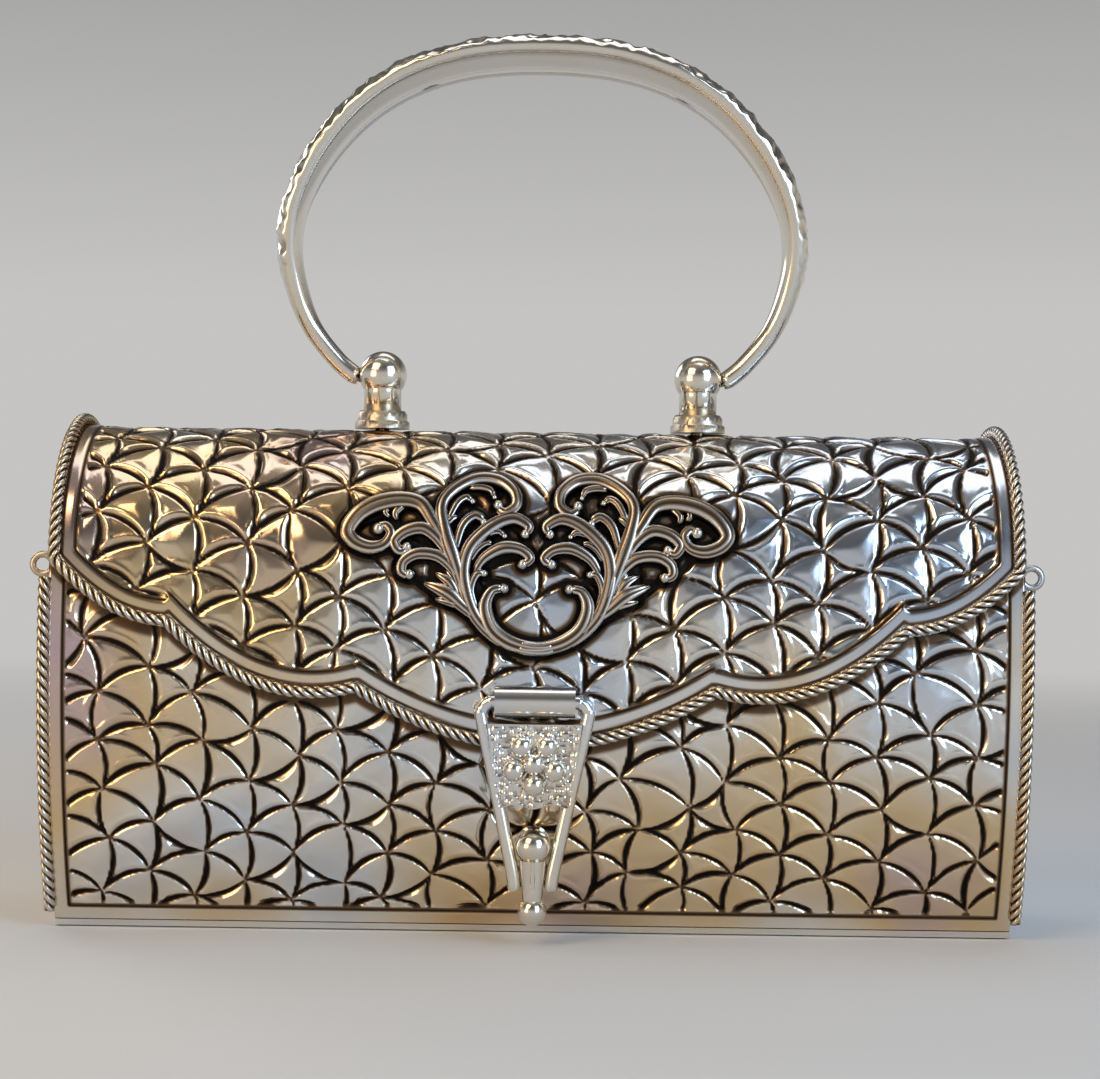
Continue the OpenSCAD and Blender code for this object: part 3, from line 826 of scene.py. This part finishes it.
@dataclass
class Scrolls:
    """Applied spray of C-scrolls and leaves.

    Rows of STROKES are x from the centre line, z and half width, those of KNOBS x, z and size, those of RIBS the
    place, width and depth of a groove along a stroke.
    """

    sub: int = 9
    sides: int = 18
    base: float = LID_OUT - 0.4
    stout: float = 1.16
    knob: float = 0.8

    STROKES = (
        ((6.6, 70.4, 0.8), (9, 69.9, 1), (10.3, 66.8, 1.3), (9, 62.7, 1.5), (5.9, 60.1, 1.5), (1.8, 58.8, 1.4),
         (-1.8, 58.7, 1.4), (-3.6, 59.2, 1.2)),
        ((4, 59, 0.9), (8, 60.6, 1.1), (12.1, 64.7, 1.2), (14.2, 69.9, 1.3), (14.7, 75.1, 1.3), (13.2, 80.2, 1.3),
         (9, 84.4, 1.3), (4.9, 85.9, 1.2), (1.8, 84.4, 1), (2.3, 82.8, 0.8)),
        ((12.6, 73.6, 0.7), (10.6, 77.1, 1), (7, 79.5, 1.2), (3.4, 79.2, 1.1), (1.4, 77.1, 1), (2.8, 75.6, 0.8)),
        ((11.9, 65.8, 0.7), (13.2, 69.9, 0.8), (12.1, 73.3, 0.8), (10.6, 73.5, 0.7)),
        ((11.4, 64, 0.7), (14.6, 66.6, 1.1), (18, 69.4, 1.4), (22.8, 71.4, 0.5)),
        ((13.6, 66.4, 0.8), (15.6, 73, 1.2), (17.2, 78.4, 1.5), (18.6, 83, 1.4), (19.4, 88, 1.2), (17.3, 91.1, 1.2),
         (12.7, 93.4, 1.3), (8, 93.2, 1.3), (4.9, 91.1, 1.2), (4.4, 88.5, 1.1), (6.5, 87, 1), (8.3, 88, 0.8)),
        ((17.8, 79.6, 0.9), (20.9, 84.9, 1.2), (24, 88.8, 1.4), (29.7, 90.1, 1.6), (35.4, 88, 1.6), (38, 83.9, 1.5),
         (36.9, 80.8, 1.4), (33.8, 79.2, 1.3), (30.7, 80, 1.1), (29.4, 82.8, 1), (30.5, 84.9, 0.9),
         (32.2, 84.4, 0.8)),
        ((17.4, 77.1, 0.8), (19.9, 81.3, 1.1), (23, 83.6, 1.2), (26.6, 83.1, 1.2), (28.6, 80.8, 1.1),
         (27.6, 78.6, 1), (26.1, 79.2, 0.8)),
        ((15.4, 72, 0.8), (17.8, 75.6, 1.1), (20.4, 77.6, 1.2), (24, 77.9, 1.2), (26.6, 76.2, 1.1), (27.1, 73.8, 1),
         (25.6, 72.7, 0.8)),
        ((16.6, 78, 0.7), (15.2, 84, 0.9), (12.7, 86.4, 0.9), (10.6, 85.4, 0.8)),
        ((18.2, 85, 0.6), (16.4, 88.6, 0.75), (14.6, 89.9, 0.7), (13.3, 89.3, 0.55)),
        ((14.2, 91.8, 0.6), (11.6, 91.9, 0.7), (9.6, 91.4, 0.65), (8.9, 90.2, 0.5)),
        ((12.4, 80.2, 0.6), (10, 82.6, 0.7), (7.8, 83.2, 0.65), (6.7, 82.2, 0.5)),
        ((13.6, 76.2, 0.6), (12, 79.2, 0.7), (10.2, 80.6, 0.6), (9, 80.4, 0.45)),
        ((14.4, 66.6, 0.6), (17, 67.6, 0.95), (20.4, 68.2, 0.4)),
        ((15.6, 68.2, 0.7), (17.6, 71.6, 1.0), (20.6, 73.6, 0.4)),
        ((16.2, 69.4, 0.6), (16.9, 72.4, 0.7), (18.4, 74.2, 0.35)),
        ((18.2, 81, 0.6), (20.2, 84.8, 0.8), (20.6, 87.6, 0.35)),
        ((18.4, 80.4, 0.6), (21.6, 82.8, 0.7), (23.4, 85.6, 0.35)),
        ((18.8, 84, 0.6), (17.2, 85.8, 0.7), (15.9, 86.2, 0.35)),
        ((26.6, 89.2, 0.6), (28.6, 87.8, 0.7), (28.2, 86, 0.35)),
        ((30, 89.6, 0.6), (30.6, 88, 0.6), (29.6, 87, 0.3)),
    )
    KNOBS = ((6.6, 70.4, 1.25), (2.5, 82.6, 1.2), (2.9, 75.7, 1.3), (10.6, 73.5, 1), (8, 88.4, 1.3), (32, 84, 1.5),
             (26.1, 79.4, 1.3), (25.5, 73.1, 1.3), (10.8, 85, 1.05), (13.2, 89.2, 0.8), (8.8, 90.1, 0.7),
             (6.6, 82.2, 0.75))
    RIBS = ((0.18, 0.15, 1.0), (-0.5, 0.13, 0.8))

    @staticmethod
    def droop(x: Array, z: Array) -> Array:
        """Arc length at height z, with the upper curls drawn down a little."""
        return WRAP.s_of(z - 2.1 * step(z, 70, 88) - 1.2 * step(x, 22, 31) * step(z, 79, 89))

    def curves(self) -> list[Array]:
        """Curves of both sides.

        Returns:
            Each curve as rows of x, s and half width.
        """
        out = []
        for side in (-1, 1):
            for ctrl in self.STROKES:
                p = smooth(np.array(ctrl), self.sub)
                out.append(np.stack([side * p[:, 0], self.droop(p[:, 0], p[:, 1]), p[:, 2]], 1))
        return out

    def build(self, material: Material) -> None:
        """Makes the spray.

        Args:
            material: Finish.
        """
        made = Builder("scroll_spray")
        a = turn(self.sides)
        c, up = np.cos(a), np.clip(np.sin(a), 0, 1)
        ribs = sum(deep * np.exp(-(((c - at) / wide) ** 2)) for at, wide, deep in self.RIBS)
        crown = up**0.75 * (1 - 0.2 * ribs) - 0.12 * (np.sin(a) < -0.01)
        # Grooves blackened with oxide. The low flanks and underside are blackened with oxide and a painted contact
        # shadow.
        dark = np.clip(0.75 * ribs * (up > 0.2) + 0.9 * (up < 0.35), 0, 1)
        for p in self.curves():
            t = unit(np.gradient(p[:, :2], axis=0))
            v = np.stack([-t[:, 1], t[:, 0]], 1)
            n = len(p)
            fade = np.minimum(1, np.sqrt(np.minimum(np.arange(n) + 0.6, n - np.arange(n) - 0.4) / 4))
            r = self.stout * p[:, 2] * fade
            high = (0.8 + 1.25 * p[:, 2]) * fade
            flat = p[:, None, :2] + v[:, None] * (r[:, None] * c)[..., None]
            rings = WRAP.skin(flat[..., 0], flat[..., 1], self.base + high[:, None] * crown)
            made.tube(rings, dark)
        lift = np.linspace(0, math.pi / 2, 7)
        for side in (-1, 1):
            for x, z, size in self.KNOBS:
                s, k = float(self.droop(np.array(x), np.array(z))), self.knob * size
                rad = np.append(1.0, np.cos(lift[:-1]))
                rad[-1] = max(rad[-1], 0.05)
                tall = np.append(0.0, 0.9 + 1.1 * np.sin(lift[:-1]))
                rings = WRAP.skin(side * x + k * rad[:, None] * np.cos(a), s + k * rad[:, None] * np.sin(a),
                                  self.base + k * tall[:, None])
                # The knob's foot ring is blackened: oxide with a painted contact shadow.
                made.tube(rings, (tall < 1.0)[:, None] * 0.9)
        made.make(Body.LID, ("scroll_ornament",), material)


@dataclass
class Handle:
    """Band over the top with a worked outer face, tapering to rods with turning pins.

    Rows of HALF and APEX are x, height over the pins, half width and half thickness, those of VENTS x and y.
    """

    pin_r: float = 1.5
    rod_r: float = 2.0
    vent_r: float = 1.35
    vent_deep: float = 2.0
    channel_deep: float = 0.9
    shoulder_x: float = 39.2
    sub: int = 20
    sides: int = 96
    HALF = ((39.8, 0, 2, 2), (43.5, 3.2, 2, 2), (48.7, 9.8, 2.5, 2.1), (52, 17.6, 4.2, 2.4), (53.6, 26.8, 6.4, 2.6),
            (52.2, 36.5, 8.4, 2.8), (47, 47, 10.1, 3), (38.9, 56.4, 11.3, 3), (28.6, 63.2, 12.1, 3),
            (15.5, 67.3, 12.5, 3))
    APEX = (0, 68.5, 12.5, 3)
    VENTS = ((-25.3, 6.5), (31.0, 6.5))

    def build(self, material: Material) -> None:
        """Makes the handle in one piece.

        Args:
            material: Finish.
        """
        half = np.array(self.HALF)
        mirror = np.array([-1, 1, 1, 1])
        p = smooth(np.concatenate([half * mirror, [self.APEX], half[::-1]]), self.sub)
        t = unit(np.gradient(p[:, :2], axis=0))
        t[0] = t[-1] = (-1, 0)
        ends = np.array([[self.shoulder_x - back, 0, r, r] for back, r in (
            (4, self.pin_r - 0.4), (3.7, self.pin_r), (0, self.pin_r), (0, self.rod_r))])
        p = np.concatenate([ends * mirror, p, ends[::-1]])
        flat = np.tile([[-1.0, 0.0]], (len(ends), 1))
        t = np.concatenate([flat, t, flat])
        run = lengths(p[:, :2])
        a = turn(self.sides)
        c, q = np.cos(a), np.sin(a)
        wide = step(p[:, 2], 2.2, 6)[:, None]
        round_y = np.sign(c) * np.abs(c) ** (1 - 0.3 * wide)
        y = -p[:, 2:3] * round_y
        e = p[:, 3:4] * np.sign(q) * np.abs(q) ** (1 - 0.15 * wide)
        far = (run - run[-1] / 2)[:, None] + 0 * y
        work = step(q, -0.02, 0.3) * step(p[:, 2], 3.6, 6.4)[:, None]
        vein = np.cos(2 * math.pi * (far / 3.1 + np.sin(y / 2.1) * 0.5)) * np.cos(2 * math.pi * y / 3.6)
        relief = 0.34 * lumps(far, y, 2.3, SEED + 4) + 0.22 * lumps(far, y, 1.2, SEED + 5) + 0.16 * vein
        e = e + work * relief
        oxide_and_shade = np.clip(work * (0.07 - 0.55 * relief), 0, 0.27)
        across = y / p[:, 2:3]
        channel = step(across, -0.12, 0.02) * step(-across, -0.9, -0.78) * step(-q, 0.15, 0.4)
        channel = channel * step(p[:, 2], 4.0, 7.0)[:, None]
        e = e + self.channel_deep * channel
        oxide_and_shade = np.maximum(oxide_and_shade, 0.17 * channel)
        for x, y0 in self.VENTS:
            d = np.hypot(p[:, 0:1] - x, y - y0)
            hole = (np.exp(-((d / self.vent_r) ** 4)) * (q < -0.2)) * (p[:, 1:2] > 40)
            e = e + self.vent_deep * hole
            # Painted shade: the vent's dent is darkened so that it reads as the dark inside of an open hole.
            oxide_and_shade = np.maximum(oxide_and_shade, np.clip(2.2 * hole, 0, 1))
        rings = np.stack([p[:, 0:1] - t[:, 1:2] * e, y, SWING_Z + p[:, 1:2] + t[:, 0:1] * e], -1)
        made = Builder("handle_band")
        made.tube(rings, oxide_and_shade)
        made.make(Body.HANDLE, ("handle",), material)


@dataclass
class Clasp:
    """Spring wire of the hasp and its stippled plate.

    Fields: wire_r and arm_x are the wire's radius and half spread; plate_t to drop are the plate's thickness, half
    width, taper, height and distance under the hinge; wave is the rise of its lower edge, grit_h that of the stipple.
    """

    wire_r: float = 1.35
    arm_x: float = 10.6
    sides: int = 20
    plate_t: float = 0.9
    plate_x: float = 9.4
    narrow: float = 2.1
    plate_h: float = 16.7
    drop: float = 4.3
    wave: float = 0.9
    grit_h: float = 0.22

    def wire(self, material: Material) -> None:
        """Makes the bent wire that turns in the tube on the lid.

        Args:
            material: Finish.
        """
        x = self.arm_x
        half = np.array([(0, 0), (8, 0), (8.9, -0.15), (9.9, -0.75), (x - 0.1, -1.8), (x, -3), (x - 2.4, -14),
                         (x - 4.9, -26), (x - 6.6, -34), (x - 7, -37.6)])
        path = smooth(np.concatenate([half[:0:-1] * np.array([-1, 1]), half]), 6)
        t = unit(np.gradient(path, axis=0))
        a = turn(self.sides)
        n = np.arange(len(path))
        r = self.wire_r * np.minimum(1, np.sqrt(np.minimum(n + 0.35, len(n) - n - 0.65) / 1.6))[:, None]
        rings = np.stack([path[:, 0:1] + r * np.sin(a) * t[:, 1:2], HASP_Y - r * np.cos(a),
                          HASP_Z + path[:, 1:2] - r * np.sin(a) * t[:, 0:1]], -1)
        made = Builder("hasp_loop")
        made.tube(rings)
        made.make(Body.HASP, ("hasp_wire",), material)

    def plate(self, material: Material) -> None:
        """Makes the stippled plate with its plain rim.

        Args:
            material: Finish.
        """
        v, u = np.meshgrid(np.linspace(0, 1, 120), np.linspace(-1, 1, 130))
        x = u * (self.plate_x - self.narrow * v)
        z = HASP_Z - self.drop - (self.plate_h - self.wave * np.sin(math.pi * np.abs(u)) ** 2) * v
        back = HASP_Y - self.wire_r - 0.05
        rim = np.minimum((1 - np.abs(u)) * 8, np.minimum(v, 1 - v) * self.plate_h)
        grit = 0.75 * lumps(x, z, 0.5, SEED + 1) + 0.25 * lumps(x, z, 1.3, SEED + 6)
        rough = step(rim, 0.1, 0.5) * (grit - 0.25)
        front = back - self.plate_t - self.grit_h * rough
        made = Builder("hasp_face")
        face = np.stack([x, front, z], -1)
        rear = np.stack([x, np.full_like(x, back), z], -1)
        rings = np.concatenate([face, rear[:, ::-1]], axis=1)
        dark = np.clip(-0.5 * rough - 0.03, 0, 0.24)
        made.tube(rings, np.concatenate([dark, 0 * dark], axis=1))
        made.make(Body.HASP, ("hasp_plate",), material, math.radians(50))


@dataclass
class Fittings:
    """CAD pieces that keep their shape: turned ones are merged and shaded smooth, flat ones only dressed."""

    TURNED = {
        Body.PURSE: ("clasp_stud", "left_chain_eye", "right_chain_eye", "left_body_knuckle", "middle_body_knuckle",
                     "right_body_knuckle", "hinge_pin"),
        Body.LID: ("hasp_tube", "left_collar", "right_collar", "left_post", "right_post", "left_lid_knuckle",
                   "right_lid_knuckle"),
        Body.HASP: ("flower_centre", "petal_1", "petal_2", "petal_3", "petal_4", "petal_5"),
    }
    FLAT = ("base_plate", "left_cheek", "right_cheek", "left_nut", "right_nut")
    AGED = ("left_collar", "right_collar", "left_chain_eye", "right_chain_eye")
    flower_z: float = HASP_Z - 12
    closer: float = 0.16
    neck_z: float = 12.7
    merge: float = 0.000002
    crease: float = math.radians(38)

    def build(self, material: Material, aged: Material) -> None:
        """Dresses every fitting.

        Args:
            material: Finish.
            aged: Finish of the darkened ones.
        """
        for body, names in self.TURNED.items():
            for name in names:
                obj = self.polish(name, body, aged if name in self.AGED else material)
                if name.startswith("petal"):
                    self.gather(obj)
        self.neck(material)
        for name in self.FLAT:
            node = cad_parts[name]
            node.data.materials.clear()
            node.data.materials.append(material)

    def gather(self, obj: Object) -> None:
        """Moves a petal closer to the flower's centre, as the beads are soldered in one cluster.

        Args:
            obj: The petal.
        """
        mid = sum((v.co for v in obj.data.vertices), Vector()) / len(obj.data.vertices)
        move = (Vector((0, mid.y, self.flower_z * MM)) - mid) * self.closer
        obj.data.transform(Matrix.Translation(move))

    def neck(self, material: Material) -> None:
        """Makes the stud's stout, creased neck between its two balls.

        Args:
            material: Finish.
        """
        middle = (0, HASP_Y * MM, self.neck_z * MM)
        bpy.ops.object.select_all(action="DESELECT")
        bpy.ops.mesh.primitive_cone_add(vertices=36, radius1=1.95 * MM, radius2=2.75 * MM, depth=8.2 * MM,
                                        location=middle)
        obj = bpy.context.active_object
        obj.name = "stud_neck"
        bpy.ops.object.transform_apply(location=True, rotation=True, scale=True)
        edit_all(obj)
        bpy.ops.mesh.subdivide(number_cuts=5)
        bpy.ops.mesh.select_all(action="DESELECT")
        bpy.ops.object.mode_set(mode="OBJECT")
        for vert in obj.data.vertices:
            vert.select = abs(vert.co.x) < 0.42 * MM and vert.co.z > (self.neck_z - 0.3) * MM
        bpy.ops.object.mode_set(mode="EDIT")
        bpy.ops.transform.resize(value=(1, 0.72, 1), center_override=middle)
        bpy.ops.object.mode_set(mode="OBJECT")
        bpy.ops.object.shade_smooth_by_angle(angle=math.radians(50))
        obj.data.materials.append(material)
        settle(obj, Body.PURSE, ())

    def polish(self, name: str, body: Body, material: Material) -> Object:
        """Copies a node's mesh, merges its doubles and shades it smooth by angle.

        Args:
            name: CAD node.
            body: Body that it rides on.
            material: Finish.

        Returns:
            The new object.
        """
        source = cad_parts[name]
        obj = bpy.data.objects.new(f"{name}_turned", source.data.copy())
        obj.data.transform(source.matrix_world)
        bpy.context.scene.collection.objects.link(obj)
        obj.data.materials.clear()
        obj.data.materials.append(material)
        edit_all(obj)
        bpy.ops.mesh.remove_doubles(threshold=self.merge)
        bpy.ops.object.mode_set(mode="OBJECT")
        bpy.ops.object.shade_smooth_by_angle(angle=self.crease)
        settle(obj, body, (name,))
        return obj


@dataclass
class Studio:
    """Camera at the photograph's place, pale floor that runs out into a pale horizon, and soft lights.

    Rows of HEIGHTS are the sine of an angle over the horizon and a colour, those of LIGHTS name, place in metres,
    side, watts and tint.
    """

    eye: tuple[float, float, float] = (0.0025, -0.479, 0.0805)
    lens: float = 73.5
    roll: float = -0.0145
    ground: Colour = (0.63, 0.64, 0.655)
    floor_r: float = 9.0
    fade: tuple[float, float] = (0.2, 1.1)
    PALE = (0.56, 0.555, 0.545)
    HEIGHTS = ((0.0, PALE), (0.1, PALE), (0.3, (0.30, 0.30, 0.30)), (0.5, (0.10, 0.10, 0.105)),
               (0.75, (0.14, 0.135, 0.13)), (1.0, (0.36, 0.34, 0.31)))
    LIGHTS = (("key", (-0.5, -0.6, 0.72), 0.5, 3.4, (1.0, 0.76, 0.46)),
              ("fill", (0.62, -0.62, 0.5), 0.5, 3.6, (0.60, 0.79, 1.0)),
              ("top", (0.05, 0.1, 0.85), 0.6, 1.7, (0.93, 0.95, 1.0)),
              ("lamp", (-0.72, -0.74, 0.2), 0.42, 2.2, (1.0, 0.66, 0.34)),
              ("window", (0.66, -0.8, 0.24), 0.42, 2.2, (0.52, 0.74, 1.0)),
              ("rim", (-0.6, 0.55, 0.45), 0.4, 1.2, (1.0, 0.95, 0.9)))
    AIM = Vector((0, 0, 0.09))

    def build(self) -> None:
        """Makes camera, floor, world and lights."""
        cam = bpy.data.cameras.new("camera")
        cam.lens, cam.sensor_width, cam.clip_start = self.lens, 36.0, 0.01
        obj = bpy.data.objects.new("camera", cam)
        obj.location = self.eye
        obj.rotation_euler = (math.pi / 2, self.roll, 0)
        bpy.context.scene.collection.objects.link(obj)
        bpy.context.scene.camera = obj
        self.floor()
        self.world()
        bpy.context.scene.view_settings.view_transform = "Standard"
        self.lights()

    def floor(self) -> None:
        """Makes the floor; far out it takes the colour of the horizon, so that no edge shows."""
        bpy.ops.object.select_all(action="DESELECT")
        bpy.ops.mesh.primitive_circle_add(vertices=96, radius=self.floor_r, fill_type="NGON", location=(0, 0, -0.0003))
        floor = bpy.context.active_object
        floor.name = "floor"
        mat = bpy.data.materials.new("floor")
        mat.use_nodes = True
        nodes, links = mat.node_tree.nodes, mat.node_tree.links
        shader = nodes["Principled BSDF"]
        shader.inputs["Base Color"].default_value = (*self.ground, 1)
        shader.inputs["Roughness"].default_value = 0.8
        place = nodes.new("ShaderNodeTexCoord")
        far = nodes.new("ShaderNodeVectorMath")
        far.operation = "LENGTH"
        links.new(place.outputs["Object"], far.inputs[0])
        fade = spread(mat.node_tree, far.outputs["Value"], self.fade)
        fade.node.interpolation_type = "SMOOTHSTEP"
        glow = nodes.new("ShaderNodeEmission")
        glow.inputs["Color"].default_value = (*self.PALE, 1)
        blend = nodes.new("ShaderNodeMixShader")
        links.new(fade, blend.inputs["Fac"])
        links.new(shader.outputs["BSDF"], blend.inputs[1])
        links.new(glow.outputs["Emission"], blend.inputs[2])
        links.new(blend.outputs["Shader"], nodes["Material Output"].inputs["Surface"])
        floor.data.materials.append(mat)

    def world(self) -> None:
        """Makes the room: pale at the horizon, dim above it, lighter overhead."""
        world = bpy.data.worlds.new("studio")
        world.use_nodes = True
        nodes, links = world.node_tree.nodes, world.node_tree.links
        place = nodes.new("ShaderNodeTexCoord")
        split = nodes.new("ShaderNodeSeparateXYZ")
        links.new(place.outputs["Generated"], split.inputs["Vector"])
        links.new(ramp(world.node_tree, split.outputs["Z"], self.HEIGHTS), nodes["Background"].inputs["Color"])
        bpy.context.scene.world = world

    def lights(self) -> None:
        """Adds the soft area lights, which look at the purse."""
        for name, place, size, power, colour in self.LIGHTS:
            data = bpy.data.lights.new(name, "AREA")
            data.size, data.energy, data.color = size, power, colour
            obj = bpy.data.objects.new(name, data)
            obj.location = place
            obj.rotation_euler = (self.AIM - Vector(place)).to_track_quat("-Z", "Y").to_euler()
            bpy.context.scene.collection.objects.link(obj)


def edge_rope(side: float) -> tuple[Array, Array]:
    """Path of the rope beside a cheek.

    Args:
        side: -1 for the left one, 1 for the right one.

    Returns:
        Points of the path, and its outward directions.
    """
    s = np.linspace(WRAP.s_of(EDGE_ROPE_TOP), WRAP.s_of(EDGE_ROPE_FOOT), 60)
    seat = 0.6 * ROPE_R
    path = WRAP.skin(np.full_like(s, side * (BODY_HALF + seat)), s, seat)
    return path, np.tile([[side, 0.0, 0.0]], (len(s), 1))


def lid_rope(back: float) -> tuple[Array, Array]:
    """Path of the rope round the lid's sides and scalloped edge.

    Args:
        back: Arc length at which it starts behind.

    Returns:
        Points of the path, and its outward directions.
    """
    x1 = LID_HALF - ROPE_R
    corner = float(WRAP.s_of(scallop(x1) + ROPE_R))
    down = np.linspace(back, corner, 120)
    x = np.linspace(-x1, x1, 260)[1:-1]
    flat = np.concatenate([np.stack([np.full_like(down, -x1), down], 1),
                           np.stack([x, WRAP.s_of(scallop(x) + ROPE_R)], 1),
                           np.stack([np.full_like(down, x1), down[::-1]], 1)])
    path = WRAP.skin(flat[:, 0], flat[:, 1], LID_OUT + ROPE_R + 0.02)
    return path, WRAP.skin(0 * flat[:, 0], flat[:, 1], 1.0) - WRAP.skin(0 * flat[:, 0], flat[:, 1], 0.0)


def main() -> None:
    """Builds every piece in order."""
    logging.basicConfig(level=logging.INFO, format="%(message)s")
    sheet = Silver("silver_chased").build()
    trim = Silver("silver_trim", bright=(0.66, 0.62, 0.56), cool=(0.61, 0.62, 0.64), gold=(0.68, 0.57, 0.41),
                  mauve=(0.58, 0.52, 0.50), rough=0.27, stain=0.4, painted_lamp_slant=0.03).build()
    plain = Silver("silver_plain", cool=(0.67, 0.72, 0.80), gold=(0.78, 0.73, 0.63), mauve=(0.73, 0.69, 0.67),
                   rough=0.16, stain=0.25, painted_lamp_slant=0.04).build()
    scrolls = Scrolls()
    back, top, foot = -float(WRAP.s_of(LID_BACK_Z)), float(WRAP.s_of(FRONT_TOP_Z)), float(WRAP.s_of(FOOT_Z))
    LidSheet("lid_sheet", "lid_shell", Body.LID, LID_HALF, back, LID_GAP, LID_OUT, margin=5.2, grid=0.51,
             lattice=Lattice(LID_HALF, back, float(WRAP.s_of(EDGE_Z)) + 4),
             spray=np.concatenate(scrolls.curves())).build(sheet)
    FrontSheet("front_sheet", "front_panel", Body.PURSE, BODY_HALF, top, -SHEET, 0.0, margin=3.1, grid=0.43,
               lattice=Lattice(BODY_HALF, top, foot)).build(sheet)
    BackSheet().build(plain)
    Rope("lid_cord", "lid_rope", Body.LID, *lid_rope(back + 2), Twist.RIGHT).build(trim)
    Rope("left_cord", "left_edge_rope", Body.PURSE, *edge_rope(-1), Twist.LEFT).build(trim)
    Rope("right_cord", "right_edge_rope", Body.PURSE, *edge_rope(1), Twist.RIGHT).build(trim)
    scrolls.build(trim)
    Handle().build(plain)
    clasp = Clasp()
    clasp.wire(plain)
    clasp.plate(plain)
    aged = Silver("silver_aged", bright=(0.52, 0.49, 0.45), cool=(0.50, 0.51, 0.53), gold=(0.56, 0.48, 0.37),
                  mauve=(0.48, 0.43, 0.41), warm=(0.55, 0.47, 0.36), rough=0.34, stain=0.5, painted_lamp_slant=0.03).build()
    Fittings().build(plain, aged)
    Studio().build()


if __name__ == "__main__":
    main()
